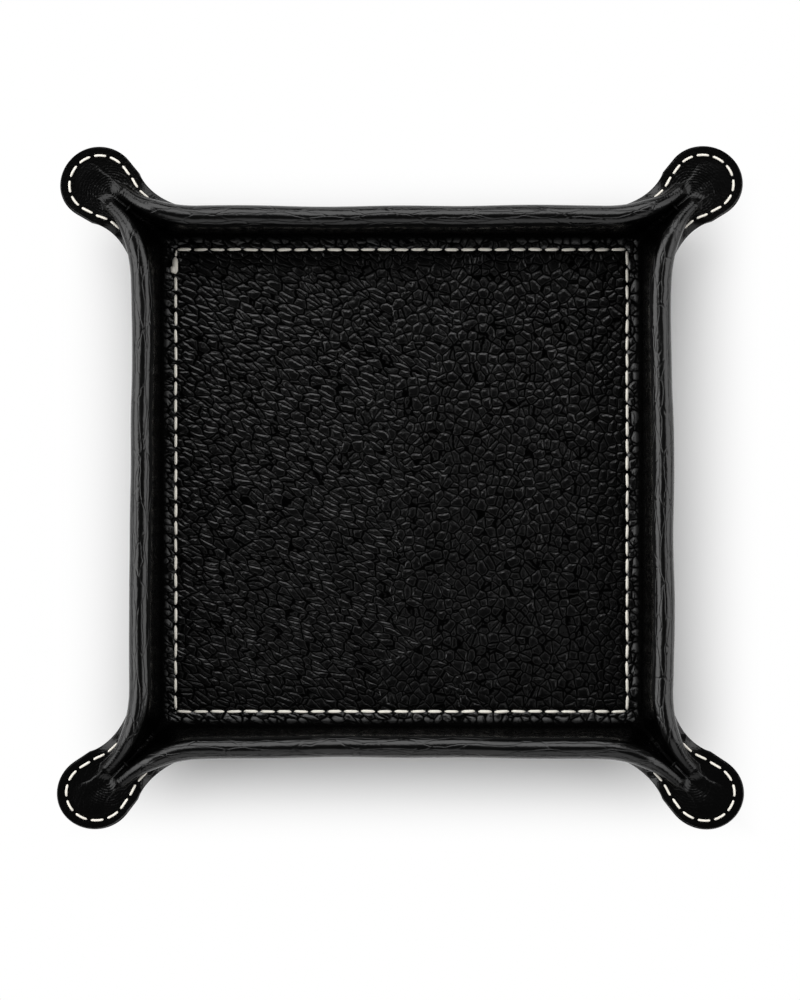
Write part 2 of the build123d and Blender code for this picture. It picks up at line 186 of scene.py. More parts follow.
def fanStations(share, finger):
    # cross-sections in a fan of planes that leave the diagonal and end on the lobe's round edge
    diagonal = neckDiagonal + lobe["fanLength"] * share * (2 - share)
    edgeDiagonal, edgeAcross = lobeEdge(share)
    turn = np.arctan2(edgeAcross, edgeDiagonal - diagonal)
    fall = np.clip(1 - share / finger["end"], 0, 1) ** finger["power"]
    crestHeight = lobe["ridge"] + (sunkDrop - lobe["ridge"]) * fall
    crest = neckCrest + (lobe["crest"] - neckCrest) * share
    # the crease stays close to the roll while it drops, so that its end has a crisp edge
    beside = neckFall * np.clip(lobe["besideLead"] * crestHeight / sunkDrop, lobe["besideLeast"], 1)
    spread = ease((share - finger["end"]) / lobe["creaseRun"])
    creaseOut = crest + beside + (lobe["crease"] - lobe["crest"]) * spread
    inner = fullestCurve(crest, crestHeight) / fullestCurve(neckCrest, neckDrop)
    outer = fullestCurve(creaseOut - crest, crestHeight) / fullestCurve(neckFall, neckDrop)
    slope = np.radians(lobe["tilt"]) + 0 * share
    return dict(
        startX=diagonal / np.sqrt(2), startY=diagonal / np.sqrt(2),
        headX=np.cos(turn - eighthTurn), headY=-np.sin(turn - eighthTurn),
        base=plateHeight(diagonal), slope=slope, tilt=np.cos(turn) * np.tan(slope), startAngle=0 * share,
        foot=corner["channelGap"] * inner, boardShare=0 * share, crest=crest, crestHeight=crestHeight,
        rollIn=corner["neckRollRadius"] * inner, rollOut=corner["neckRollRadius"] * outer,
        crease=corner["creaseRadius"] * outer, creaseOut=creaseOut, creaseUp=0 * share,
        hemOut=np.hypot(edgeAcross, edgeDiagonal - diagonal), hemUp=0 * share)


def stations(u, finger="crisp"):
    # wall and fan sections side by side, each where it holds
    wall, fan = wallStations(u), fanStations(np.clip(u - 2, 0, 1), fingers[finger])
    return {name: np.where(u <= 2, wall[name], fan[name]) for name in wall}


def arc(centreX, centreY, radius, first, last, count):
    # centre + radius times (sin, -cos) of an angle that runs evenly from first to last
    angle = first[:, None] + (last - first)[:, None] * np.linspace(0, 1, count)
    return centreX[:, None] + radius[:, None] * np.sin(angle), centreY[:, None] - radius[:, None] * np.cos(angle)


def line(x0, y0, x1, y1, count):
    # even steps between two points, ends left out
    t = np.linspace(0, 1, count + 2)[1:-1]
    return x0[:, None] + (x1 - x0)[:, None] * t, y0[:, None] + (y1 - y0)[:, None] * t


def tangent(x0, y0, r0, x1, y1, r1, side):
    # heading of the line that leaves one circle and joins one that turns the other way
    run, rise = x1 - x0, y1 - y0
    return np.arctan2(rise, run) + side * np.arcsin(np.clip((r0 + r1) / np.hypot(run, rise), -1, 1))


def sections(s, depth, floorDepth, counts):
    # the chain foot arc, wall, roll, fall, crease, hem at a depth under the top face,
    # each roll's radius less the depth and each hollow's radius plus it
    a0 = s["startAngle"]
    footRadius = s["foot"] + depth
    drop = depth / np.cos(s["slope"]) + (floorDepth - depth) * s["boardShare"]
    footX, footY = -footRadius * np.sin(a0), footRadius * np.cos(a0) - drop
    inside, outside = s["rollIn"] - depth, s["rollOut"] - depth
    inY, outY = s["crestHeight"] - s["rollIn"], s["crestHeight"] - s["rollOut"]
    wall = tangent(footX, footY, footRadius, s["crest"], inY, inside, 1)
    hemAngle = np.arctan2(s["hemUp"] - s["creaseUp"], s["hemOut"] - s["creaseOut"])
    creaseX = s["creaseOut"] - s["crease"] * np.sin(hemAngle)
    creaseY = s["creaseUp"] + s["crease"] * np.cos(hemAngle)
    creaseRadius = s["crease"] + depth
    fall = tangent(s["crest"], outY, outside, creaseX, creaseY, creaseRadius, -1)
    endX = s["hemOut"] + depth * np.sin(hemAngle)
    endY = s["hemUp"] - depth * np.cos(hemAngle)
    foot = arc(footX, footY, footRadius, a0, wall, counts[0])
    rollIn = arc(s["crest"], inY, -inside, wall, 0 * wall, counts[2])
    rollOut = arc(s["crest"], outY, -outside, 0 * fall, fall, counts[3])
    crease = arc(creaseX, creaseY, creaseRadius, fall, hemAngle, counts[5])
    up = line(foot[0][:, -1], foot[1][:, -1], rollIn[0][:, 0], rollIn[1][:, 0], counts[1])
    down = line(rollOut[0][:, -1], rollOut[1][:, -1], crease[0][:, 0], crease[1][:, 0], counts[4])
    hem = line(crease[0][:, -1], crease[1][:, -1], endX, endY, counts[6])
    pieces = [foot, up, rollIn, (rollOut[0][:, 1:], rollOut[1][:, 1:]), down, crease, hem,
              (endX[:, None], endY[:, None])]
    out = np.concatenate([p[0] for p in pieces], axis=1)
    high = np.concatenate([p[1] for p in pieces], axis=1)
    return np.stack([
        s["startX"][:, None] + out * s["headX"][:, None],
        s["startY"][:, None] + out * s["headY"][:, None],
        s["base"][:, None] + high + out * s["tilt"][:, None]], axis=2)


def allRound(octants):
    # four quarter turns of one eighth and another one's mirror image, as one loop, each
    # corner with its own pair of rolled ends
    loop = []
    for turn, (first, second) in enumerate(fingersRound):
        swapped = octants[second][::-1][:, :, [1, 0, 2]]
        quarter = np.concatenate([octants[first][:-1], swapped[:-1]])
        for _ in range(turn):
            quarter = np.stack([-quarter[..., 1], quarter[..., 0], quarter[..., 2]], axis=-1)
        loop.append(quarter)
    return np.concatenate(loop)


# Where the hand-made piece stands off the true square: place, then shift, at rim height
leans = np.array([
    (-85, 85, -0.3, -1.8), (-76, 76, 0.3, 0.8), (85, 85, 0.6, -1.3), (76, 76, -0.5, 1.0),
    (-85, -85, -1.6, -1.2), (-76, -76, 0.2, -2.2), (85, -85, 1.2, -1.2), (76, -76, -1.3, -2.1),
    (-60, 77, 0, 2.2), (60, 77, 0, 2.2), (-60, -77, 0, -0.6), (60, -77, 0, -0.8),
    (0, 75, 0, 1.5), (-45, 75, 0, 1.5), (45, 75, 0, 1.7),
    (0, -75, 0, -0.2), (-45, -75, 0, -0.4), (45, -75, 0, -0.5),
    (-75, 0, 0.4, 0), (-75, 45, 0.9, 0), (-75, -45, 0.0, 0),
    (75, 0, 0, 0), (75, 45, -0.7, 0), (75, -45, 0.1, 0),
])
leanReach, leanFrom, leanRun = 12.0, 3, 20
floorLean = {"wide": -0.019, "deep": 0.004, "back": 1.1}


def settle(points):
    # each lean fades with the square of its distance, and all are averaged by that weight;
    # they grow with height, while the floor keeps a small stretch and shift of its own
    x, y, z = points[..., 0], points[..., 1], points[..., 2]
    lift = ease((z - leanFrom) / leanRun)
    gap = (x[..., None] - leans[:, 0]) ** 2 + (y[..., None] - leans[:, 1]) ** 2
    weight = np.exp(-gap / (2 * leanReach ** 2)) + 1e-9
    weight /= weight.sum(axis=-1, keepdims=True)
    leanX, leanY = weight @ leans[:, 2], weight @ leans[:, 3]
    ripple = 0.1 * np.sin(x / 6.1 + y / 9.3) + 0.08 * np.sin(y / 5.3 - x / 12.7 + 1.0)
    dx = lift * (leanX + ripple) + (1 - lift) * floorLean["wide"] * x
    dy = lift * (leanY + ripple) + (1 - lift) * (floorLean["deep"] * y + floorLean["back"])
    dz = lift * 1.5 * ripple
    return points + np.stack([dx, dy, dz], axis=-1)


def makeMesh(name, points, faces, smooth=True):
    # merges points that fall together, drops faces that close up, and writes the rest in metres
    unique, index = np.unique(np.round(points, 4), axis=0, return_inverse=True)
    index = index.ravel()
    mesh = bpy.data.meshes.new(name)
    welded = [index[f] for f in faces]
    kept = []
    for block in welded:
        same = np.zeros(len(block), dtype=bool)
        size = block.shape[1]
        for i in range(size):
            for j in range(i + 1, size):
                same |= block[:, i] == block[:, j]
        whole = block[~same]
        kept.extend(whole.tolist())
        if size == 4:
            for ring in block[same]:
                corners = list(dict.fromkeys(ring.tolist()))
                if len(corners) == 3:
                    kept.append(corners)
    mesh.from_pydata((unique * millimetre).tolist(), [], kept)
    mesh.polygons.foreach_set("use_smooth", np.full(len(kept), smooth))
    mesh.update()
    piece = bpy.data.objects.new(name, mesh)
    bpy.context.collection.objects.link(piece)
    return piece, index


def gridFaces(rows, columns, start=0, wrap=False, flip=False):
    # quads of a grid of points that is stored row by row
    r = np.arange(rows if wrap else rows - 1)
    c = np.arange(columns - 1)
    r0, c0 = np.meshgrid(r, c, indexing="ij")
    r1 = (r0 + 1) % rows
    near, far = r0 * columns + c0, r1 * columns + c0
    quads = np.stack([near, far, far + 1, near + 1], axis=-1).reshape(-1, 4) + start
    return quads[:, ::-1] if flip else quads


# Stations of one eighth, denser beside the floor seam and round the bend
fine = np.linspace(0, 1 + cornerTurn / eighthTurn, 4000)
edgeRun = wallStations(fine)["startY"]
seamStart = 62.6
floorEdge = np.concatenate([np.linspace(0, seamStart, 65, endpoint=False), np.linspace(seamStart, floorHalf, 12)])
uWall = np.interp(floorEdge, edgeRun, fine)
uBend = np.linspace(uWall[-1], 2, 22)[1:]
uLobe = 2 + np.linspace(0, 1, 40)[1:] ** 1.2
uAll = np.concatenate([uWall, uBend, uLobe])
denseCounts = (7, 9, 9, 9, 8, 4, 9)
plainCounts = (3, 2, 3, 3, 2, 2, 1)
sectionSet = {finger: stations(uAll, finger) for finger in fingers}


def seamDents(x, y):
    # two bells across the seam, a wide one for its groove and a narrow one at each hole
    pitch = 2 * floorSeamHalf / round(2 * floorSeamHalf / seam["floorPitch"])
    dent = 0 * x
    for run, off in ((y, np.abs(x) - floorSeamHalf), (x, np.abs(y) - floorSeamHalf)):
        inside = ease((floorSeamHalf + 1 - np.abs(run)) / 1.0)
        hole = np.cos(np.pi * (run + floorSeamHalf) / pitch) ** 2
        dent = np.maximum(dent, inside * (
            seam["grooveDepth"] * np.exp(-(off / seam["grooveWidth"]) ** 2)
            + seam["holeDepth"] * hole ** 3 * np.exp(-(off / seam["holeWidth"]) ** 2)))
    return dent


def bobbinGroove(x, y):
    # a flat-bottomed channel under the seam, from a bell of the fourth power
    off = np.maximum(np.abs(x), np.abs(y)) - floorSeamHalf
    return seam["bobbinDepth"] * np.exp(-(off / seam["bobbinWidth"]) ** 4)


def leatherSheet(name, topDepth, topFloor, bottomDepth, bottomFloor, seenFromAbove):
    # a closed sheet: both faces are loops of sections that end on a square floor. The seen
    # face's floor is a grid with its seam pressed in, and the hidden one's a single face.
    topCounts, bottomCounts = (denseCounts, plainCounts) if seenFromAbove else (plainCounts, denseCounts)
    top = allRound({f: sections(s, topDepth, topFloor, topCounts) for f, s in sectionSet.items()})
    bottom = allRound({f: sections(s, bottomDepth, bottomFloor, bottomCounts) for f, s in sectionSet.items()})
    ring, across = top.shape[:2]
    under = bottom.shape[1]
    edge = np.concatenate([-floorEdge[::-1], floorEdge[1:]])
    size = len(edge)
    gx, gy = np.meshgrid(edge, edge, indexing="ij")
    height = tray["floorTop"] - (topFloor if seenFromAbove else bottomFloor)
    gz = height - seamDents(gx, gy) if seenFromAbove else height + bobbinGroove(gx, gy)
    grid = np.stack([gx, gy, gz], axis=-1).reshape(-1, 3)
    n0, n1 = ring * across, ring * (across + under)
    points = np.concatenate([top.reshape(-1, 3), bottom.reshape(-1, 3), grid])
    topLast = np.arange(ring) * across + across - 1
    bottomLast = n0 + np.arange(ring) * under + under - 1
    hem = np.stack([topLast, bottomLast, np.roll(bottomLast, -1), np.roll(topLast, -1)], axis=1)
    onSquare = np.tile(np.concatenate([uAll[:-1] <= uWall[-1], (uAll[1:] <= uWall[-1] + 1e-9)[::-1]]), 4)
    feet = np.nonzero(onSquare)[0]
    hidden = (n0 + feet * under)[::-1] if seenFromAbove else feet * across
    faces = [
        gridFaces(ring, across, 0, wrap=True, flip=True),
        gridFaces(ring, under, n0, wrap=True),
        hem[:, ::-1],
        gridFaces(size, size, n1, flip=not seenFromAbove),
        hidden[None],
    ]
    piece, index = makeMesh(name, settle(points), faces)
    plan = np.zeros((len(piece.data.vertices), 3))
    plan[index] = points
    markLeather(piece, plan)
    return piece


# Where each part of the finish starts, and the length over which it comes in
zones = {
    "rimUp": 17, "rimUpRun": 9, "rimOut": 72.5, "rimOutRun": 2, "lobeOut": 101, "lobeRun": 9,
    # the wall entries bound the inner walls and the floor margin whose shade is painted by a lower specular level
    "wallIn": 66.5, "wallOut": 72, "wallRun": 1.5, "wallTop": 23, "wallTopRun": 5, "turnRun": 20, "mouth": 114.0,
}


def markLeather(piece, plan):
    # numbers that the leather's finish reads: the shares of rim and lobe, the share of inner wall and floor margin
    # whose shade is painted by turning
    #  their specular down, how far a wall runs along X, and the distance to the mouth of the corner's channel
    x, y, z = np.abs(plan[:, 0]), np.abs(plan[:, 1]), plan[:, 2]
    diagonal = (x + y) / np.sqrt(2)
    mouth = zones["mouth"] / np.sqrt(2)
    far = np.maximum(x, y)
    wallIn = ease((far - zones["wallIn"]) / zones["wallRun"])
    wallOut = ease((zones["wallOut"] - far) / zones["wallRun"])
    wallTop = ease((z - zones["wallTop"]) / zones["wallTopRun"])
    marks = {
        "rimShare": np.maximum(ease((z - zones["rimUp"]) / zones["rimUpRun"]),
                               ease((far - zones["rimOut"]) / zones["rimOutRun"])),
        "lobeShare": ease((diagonal - zones["lobeOut"]) / zones["lobeRun"]),
        "wallShadeShare": wallIn * (1 - wallTop) * wallOut,
        "alongX": ease((y - x) / zones["turnRun"] + 0.5),
        "mouthRun": np.hypot(x - mouth, y - mouth) * millimetre,
    }
    for name, values in marks.items():
        layer = piece.data.attributes.new(name, "FLOAT", "POINT")
        layer.data.foreach_set("value", values.astype(np.float32))


lining = leatherSheet("lining_sheet", 0.0, 0.0, tray["thickness"], tray["thickness"], True)
outerTop = tray["thickness"] + tray["glueLine"]
outer = leatherSheet("outer_sheet", outerTop, tray["floorTop"] - tray["thickness"],
                     sheetThickness, tray["floorTop"], False)
print("leather:", len(lining.data.polygons), len(outer.data.polygons), "faces")


stitchSides = 8


def stitches(name, centres, alongs, normals, widths):
    # each stitch is a flattened capsule along its own short path: width and height follow the
    # fourth root of 1 - s to the fourth, and its ends dive into their holes with s to the fifth
    widths = np.broadcast_to(widths, len(centres))[:, None, None]
    count, rings = centres.shape[:2]
    s = np.linspace(-1, 1, rings)
    a = np.linspace(0, 2 * np.pi, stitchSides, endpoint=False)
    swell = (1 - 0.985 * s ** 4) ** 0.25
    across = np.cross(normals, alongs)
    centre = centres - normals * (seam["dive"] * np.abs(s) ** 5)[None, :, None]
    side = across[:, :, None] * (swell[:, None] * np.cos(a) * widths / 2)[..., None]
    heights = seam["height"] * np.maximum(1, widths / seam["floorWidth"])
    rise = normals[:, :, None] * (swell[:, None] * np.sin(a) * heights / 2)[..., None]
    points = centre[:, :, None] + side + rise
    r, c = np.meshgrid(np.arange(rings - 1) * stitchSides, np.arange(stitchSides), indexing="ij")
    d = (c + 1) % stitchSides
    one = np.stack([r + c, r + d, r + stitchSides + d, r + stitchSides + c], axis=-1).reshape(-1, 4)
    first = (np.arange(count) * rings * stitchSides)[:, None, None]
    cap = np.arange(stitchSides)
    ends = np.stack([cap[::-1], (rings - 1) * stitchSides + cap])
    faces = [(one[None] + first).reshape(-1, 4), (ends[None] + first).reshape(-1, stitchSides)]
    piece, _ = makeMesh(name, points.reshape(-1, 3), faces)
    return piece


knot = {
    "end": 7.2, "shortAt": 1.1, "shortHalf": 0.9, "shortWidth": 0.62, "at": 4.5, "half": 2.45, "width": 1.6,
    "bulgeAt": 5.6, "bulgeOut": 0.75, "bulgeHalf": 1.05, "bulgeWidth": 1.5,
}
capsule = np.linspace(-1, 1, 7)
handWork = np.random.default_rng(7)


def floorStitches(name, height, normal, tiedOff):
    # evenly along the four sides of the floor seam, each a hair off its line. Where the seam
    # is tied off, the left side starts with a short stitch and a thick knot, and the rest follow.
    count = round(2 * floorSeamHalf / seam["floorPitch"])
    pitch = 2 * floorSeamHalf / count
    middle = np.tile((np.arange(count) + 0.5) * pitch - floorSeamHalf, (4, 1))
    half = (pitch - seam["floorGap"]) / 2 * handWork.uniform(0.95, 1.03, (4, count))
    width = seam["floorWidth"] * handWork.uniform(0.92, 1.06, (4, count))
    aside = handWork.uniform(-0.05, 0.05, (4, count))
    lean = handWork.uniform(-0.09, 0.09, (4, count))
    if tiedOff:
        rest = 2 * floorSeamHalf - knot["end"]
        middle[2, 2:] = knot["end"] - floorSeamHalf + (np.arange(count - 2) + 0.5) * rest / (count - 2)
        middle[2, :2] = knot["shortAt"] - floorSeamHalf, knot["at"] - floorSeamHalf
        half[2, :2], width[2, :2] = (knot["shortHalf"], knot["half"]), (knot["shortWidth"], knot["width"])
        lean[2, :2], aside[2, :2] = (0.1, 0.0), (-0.1, 0.15)
    turn = np.arange(4) * np.pi / 2
    along = np.stack([-np.sin(turn), np.cos(turn), 0 * turn], axis=1)
    out = np.stack([np.cos(turn), np.sin(turn), 0 * turn], axis=1)
    run = middle[:, :, None] + half[:, :, None] * capsule
    off = floorSeamHalf + aside[:, :, None] + lean[:, :, None] * capsule
    centres = run[..., None] * along[:, None, None] + off[..., None] * out[:, None, None]
    centres[..., 2] = height
    centres = centres.reshape(-1, len(capsule), 3)
    widths = width.ravel()
    alongs = np.repeat(along, count, axis=0)
    if tiedOff:
        # the bulge of the knot, over the lower half of its stitch
        bulge = np.array([-floorSeamHalf - knot["bulgeOut"], floorSeamHalf - knot["bulgeAt"], height + 0.1])
        centres = np.concatenate([centres, (bulge - knot["bulgeHalf"] * capsule[:, None] * [0, 1, 0])[None]])
        widths, alongs = np.append(widths, knot["bulgeWidth"]), np.concatenate([alongs, [[0, -1, 0]]])
    normals = np.zeros_like(centres)
    normals[..., 2] = normal
    return stitches(name, settle(centres), alongs[:, None] + 0 * centres, normals, widths)


def edgeStitches(name, depth, side, lift):
    # along the hem at an even pitch, each bent along the line that keeps its margin to the edge
    u = np.concatenate([np.linspace(0, 2, 120, endpoint=False), np.linspace(2, 3, 90)])
    face = sections(stations(u), depth, depth, plainCounts)
    end = face[:, -1]
    hemWay = end - face[:, -3]
    hemWay /= np.linalg.norm(hemWay, axis=1, keepdims=True)
    path = end - hemWay * seam["edgeMargin"]
    run = np.concatenate([[0], np.cumsum(np.linalg.norm(np.diff(path, axis=0), axis=1))])
    count = round(run[-1] / seam["edgePitch"])
    pitch = run[-1] / count
    half = (pitch - seam["edgeGap"]) / 2
    at = ((np.arange(count) + 0.5) * pitch)[:, None] + half * capsule

    def along(values):
        return np.stack([np.interp(at, run, values[:, i]) for i in range(3)], axis=-1)
    centre, way = along(path), along(hemWay)
    forward = np.gradient(centre, axis=1)
    forward /= np.linalg.norm(forward, axis=-1, keepdims=True)
    normal = np.cross(way, forward) * side
    normal /= np.linalg.norm(normal, axis=-1, keepdims=True)
    centre = centre + normal * lift
    flips = [np.array([i, j, 1]) for i in (1, -1) for j in (1, -1)]

    def spread(values):
        both = np.concatenate([values, values[..., [1, 0, 2]]])
        return np.concatenate([both * flip for flip in flips])
    return stitches(name, settle(spread(centre)), spread(forward), spread(normal), seam["edgeWidth"])


tackThread = {"setback": 4.5, "drop": 6.5, "reach": 4.4, "width": 0.6}


def cornerTack(name, signs):
    # one thread straight across the pinched neck, low between the rolls, so that it barely shows
    tack = tackThread
    middle = (neckDiagonal - tack["setback"]) / np.sqrt(2) * np.array(signs)
    forward = np.array([-middle[1], middle[0], 0]) / np.hypot(*middle)
    centre = np.append(middle, tray["rimHeight"] - tack["drop"]) + tack["reach"] * capsule[:, None] * forward
    centre = settle(centre)[None]
    return stitches(name, centre, forward + 0 * centre, np.array([0, 0, 1]) + 0 * centre, tack["width"])


floorNeedle = floorStitches("floor_needle_stitches", tray["floorTop"] + seam["lift"], 1, True)
floorBobbin = floorStitches("floor_bobbin_stitches", seam["bobbinLevel"], -1, False)
edgeNeedle = edgeStitches("edge_needle_stitches", 0.0, 1, seam["lift"])
edgeBobbin = edgeStitches("edge_bobbin_stitches", sheetThickness, -1, seam["lift"])
cornerSigns = {"front_left": (-1, -1), "front_right": (1, -1), "back_left": (-1, 1), "back_right": (1, 1)}
tacks = {name: cornerTack("tack_" + name, signs) for name, signs in cornerSigns.items()}
print("stitches made")


def material(name):
    made = bpy.data.materials.new(name)
    made.use_nodes = True
    nodes, links = made.node_tree.nodes, made.node_tree.links
    return made, nodes, links, nodes["Principled BSDF"]


def feed(links, value, socket):
    # a number is set on the socket, and another node's output is linked to it
    if isinstance(value, (int, float)):
        socket.default_value = value
    else:
        links.new(value, socket)


def computed(nodes, links, operation, *values):
    # one sum of numbers or outputs
    made = nodes.new("ShaderNodeMath")
    made.operation = operation
    for value, socket in zip(values, made.inputs):
        feed(links, value, socket)
    return made.outputs[0]


def blend(nodes, links, share, first, second):
    # first times 1 - share, plus second times share
    mixed = nodes.new("ShaderNodeMix")
    for value, socket in ((share, 0), (first, 2), (second, 3)):
        feed(links, value, mixed.inputs[socket])
    return mixed.outputs[0]


def smoothStep(nodes, links, value, first, last, top=1.0):
    # top times 3 t squared less 2 t cubed, where t runs from 0 at first to 1 at last
    step = nodes.new("ShaderNodeMapRange")
    step.interpolation_type = "SMOOTHSTEP"
    step.inputs["From Min"].default_value = first
    step.inputs["From Max"].default_value = last
    step.inputs["To Max"].default_value = top
    links.new(value, step.inputs["Value"])
    return step.outputs["Result"]


def noise(nodes, links, vector, scale, detail=2.0):
    made = nodes.new("ShaderNodeTexNoise")
    made.inputs["Scale"].default_value = scale
    made.inputs["Detail"].default_value = detail
    links.new(vector, made.inputs["Vector"])
    return made


def bumped(nodes, links, height, strength, distance):
    bump = nodes.new("ShaderNodeBump")
    bump.inputs["Strength"].default_value = strength
    bump.inputs["Distance"].default_value = distance
    links.new(height, bump.inputs["Height"])
    return bump


def stretched(nodes, links, vector, angle, sizes):
    # the same place turned about Z, then squeezed along its own axes
    turned = nodes.new("ShaderNodeVectorRotate")
    turned.rotation_type = "Z_AXIS"
    turned.inputs["Angle"].default_value = np.radians(angle)
    links.new(vector, turned.inputs["Vector"])
    squeezed = nodes.new("ShaderNodeVectorMath")
    squeezed.operation = "MULTIPLY"
    squeezed.inputs[1].default_value = sizes
    links.new(turned.outputs["Vector"], squeezed.inputs[0])
    return squeezed.outputs["Vector"]


def attribute(nodes, name):
    read = nodes.new("ShaderNodeAttribute")
    read.attribute_name = name
    return read.outputs["Fac"]


# The hide's finish. A grain is the scale of its cells, the width of the creases between them and
# how domed they are. Lengths are metres here, as the shader has them.
hide = {
    "colour": 0.0007, "domeWidth": 0.42, "wanderScale": 130, "wanderReach": 0.0024, "fineDetail": 3,
    "pebbles": (390, 0.1, 0.78), "small": (850, 0.3, 0.8), "wrinkles": (600, 0.12, 0.75),
    "rimCreases": (420, 0.06, 0.5), "wrinkleAngle": 27, "wrinkleStretch": 0.42, "rimStretch": 0.2,
    "borderScale": 60, "borderStray": 0.16, "borderFrom": 0.0785, "borderTo": 0.0815,
    "smallOnFloor": 0.12, "smallOnRim": 0.1,
    "arcWaves": 8500, "arcStray": 14, "arcEnd": 0.0115, "arcFull": 0.003, "arcShare": 0.4,
    "floorBump": 0.5, "rimBump": 0.28, "lobeBump": 0.1, "bumpDistance": 0.0004,
    # the crease and wall specular levels below paint shade into the creases and onto the inner walls
    "creaseShadeFrom": 0.12, "creaseShadeTo": 0.5, "rimOpen": 0.65, "gloss": 0.5, "wallShadeGloss": 0.015, "lobeGloss": 0.3,
    "dull": 0.6, "smooth": 0.23, "poreScale": 1600, "poreStrength": 0.12, "poreDistance": 0.0001,
}


def cells(nodes, links, vector, scale, crease, dome):
    # Voronoi cells: a smooth step up out of the narrow crease between them, plus a share of
    # a pillow, the same step over nearly half a cell
    pattern = nodes.new("ShaderNodeTexVoronoi")
    pattern.feature = "DISTANCE_TO_EDGE"
    pattern.inputs["Scale"].default_value = scale
    links.new(vector, pattern.inputs["Vector"])
    distance = pattern.outputs["Distance"]
    steps = [smoothStep(nodes, links, distance, 0.0, width) for width in (crease, hide["domeWidth"])]
    return blend(nodes, links, dome, *steps)


def blackLeather(name):
    # pebbled grain: round cells to the right, long wrinkles to the left, drawn-out creases
    # on the rolled rim, and fine arcs round the channel's mouth on each lobe
    made, nodes, links, shader = material(name)
    shader.inputs["Base Color"].default_value = (hide["colour"], hide["colour"], hide["colour"], 1)
    coords = nodes.new("ShaderNodeTexCoord").outputs["Object"]
    wander = noise(nodes, links, coords, hide["wanderScale"], hide["fineDetail"])
    shift = nodes.new("ShaderNodeVectorMath")
    shift.operation = "MULTIPLY_ADD"
    links.new(wander.outputs["Color"], shift.inputs[0])
    shift.inputs[1].default_value = (hide["wanderReach"],) * 3
    links.new(coords, shift.inputs[2])
    place = shift.outputs["Vector"]
    pebbles = cells(nodes, links, place, *hide["pebbles"])
    small = cells(nodes, links, place, *hide["small"])
    slanted = stretched(nodes, links, place, hide["wrinkleAngle"], (hide["wrinkleStretch"], 1, 1))
    wrinkles = cells(nodes, links, slanted, *hide["wrinkles"])
    # the border between wrinkles and pebbles strays from a line of even X
    split = nodes.new("ShaderNodeSeparateXYZ")
    links.new(place, split.inputs[0])
    border = noise(nodes, links, coords, hide["borderScale"]).outputs["Fac"]
    strayed = computed(nodes, links, "MULTIPLY_ADD", border, hide["borderStray"], split.outputs["X"])
    side = smoothStep(nodes, links, strayed, hide["borderFrom"], hide["borderTo"])
    floorGrain = blend(nodes, links, side, wrinkles, pebbles)
    floorGrain = blend(nodes, links, hide["smallOnFloor"], floorGrain, small)
    rimY = cells(nodes, links, stretched(nodes, links, place, 0, (1, hide["rimStretch"], 1)), *hide["rimCreases"])
    rimX = cells(nodes, links, stretched(nodes, links, place, 0, (hide["rimStretch"], 1, 1)), *hide["rimCreases"])
    rimGrain = blend(nodes, links, attribute(nodes, "alongX"), rimY, rimX)
    rimGrain = blend(nodes, links, hide["smallOnRim"], rimGrain, small)
    # sine waves of the distance to the channel's mouth, which fade out with it
    mouthRun = attribute(nodes, "mouthRun")
    wave = computed(nodes, links, "MULTIPLY", mouthRun, hide["arcWaves"])
    wave = computed(nodes, links, "MULTIPLY_ADD", wander.outputs["Fac"], hide["arcStray"], wave)
    arcs = computed(nodes, links, "SINE", wave)
    near = smoothStep(nodes, links, mouthRun, hide["arcEnd"], hide["arcFull"])
    fadedArcs = computed(nodes, links, "MULTIPLY", arcs, near)
    lobeGrain = blend(nodes, links, hide["arcShare"], small, fadedArcs)
    isRim, isLobe = attribute(nodes, "rimShare"), attribute(nodes, "lobeShare")
    floorHeight, rimHeight, lobeHeight = (
        computed(nodes, links, "MULTIPLY", height, hide[share])
        for height, share in ((floorGrain, "floorBump"), (rimGrain, "rimBump"), (lobeGrain, "lobeBump")))
    grain = blend(nodes, links, isLobe, blend(nodes, links, isRim, floorHeight, rimHeight), lobeHeight)
    # painted shade: specular is turned down in the creases and on the inner walls and the floor beside them, to
    # darken them as shade would; creases are also duller
    depth = blend(nodes, links, isRim, floorGrain, hide["rimOpen"])
    creaseShadedGloss = smoothStep(nodes, links, depth, hide["creaseShadeFrom"], hide["creaseShadeTo"], hide["gloss"])
    shadedSpecular = blend(nodes, links, attribute(nodes, "wallShadeShare"), creaseShadedGloss, hide["wallShadeGloss"])
    links.new(blend(nodes, links, isLobe, shadedSpecular, hide["lobeGloss"]), shader.inputs["Specular IOR Level"])
    share = computed(nodes, links, "MULTIPLY", creaseShadedGloss, 1 / hide["gloss"])
    dull = blend(nodes, links, share, hide["dull"], hide["smooth"])
    links.new(blend(nodes, links, isLobe, dull, hide["smooth"]), shader.inputs["Roughness"])
    bump = bumped(nodes, links, grain, 1.0, hide["bumpDistance"])
    pores = noise(nodes, links, coords, hide["poreScale"], hide["fineDetail"])
    poreBump = bumped(nodes, links, pores.outputs["Fac"], hide["poreStrength"], hide["poreDistance"])
    links.new(bump.outputs["Normal"], poreBump.inputs["Normal"])
    links.new(poreBump.outputs["Normal"], shader.inputs["Normal"])
    return made


fibre = {"roughness": 0.6, "scale": 2500, "strength": 0.5, "distance": 0.0001}


def fibrous(name, colour):
    # one colour under a fine fibre, for the threads and the board
    made, nodes, links, shader = material(name)
    shader.inputs["Base Color"].default_value = (*colour, 1)
    shader.inputs["Roughness"].default_value = fibre["roughness"]
    coords = nodes.new("ShaderNodeTexCoord").outputs["Object"]
    strands = noise(nodes, links, coords, fibre["scale"]).outputs["Fac"]
    bump = bumped(nodes, links, strands, fibre["strength"], fibre["distance"])
    links.new(bump.outputs["Normal"], shader.inputs["Normal"])
    return made


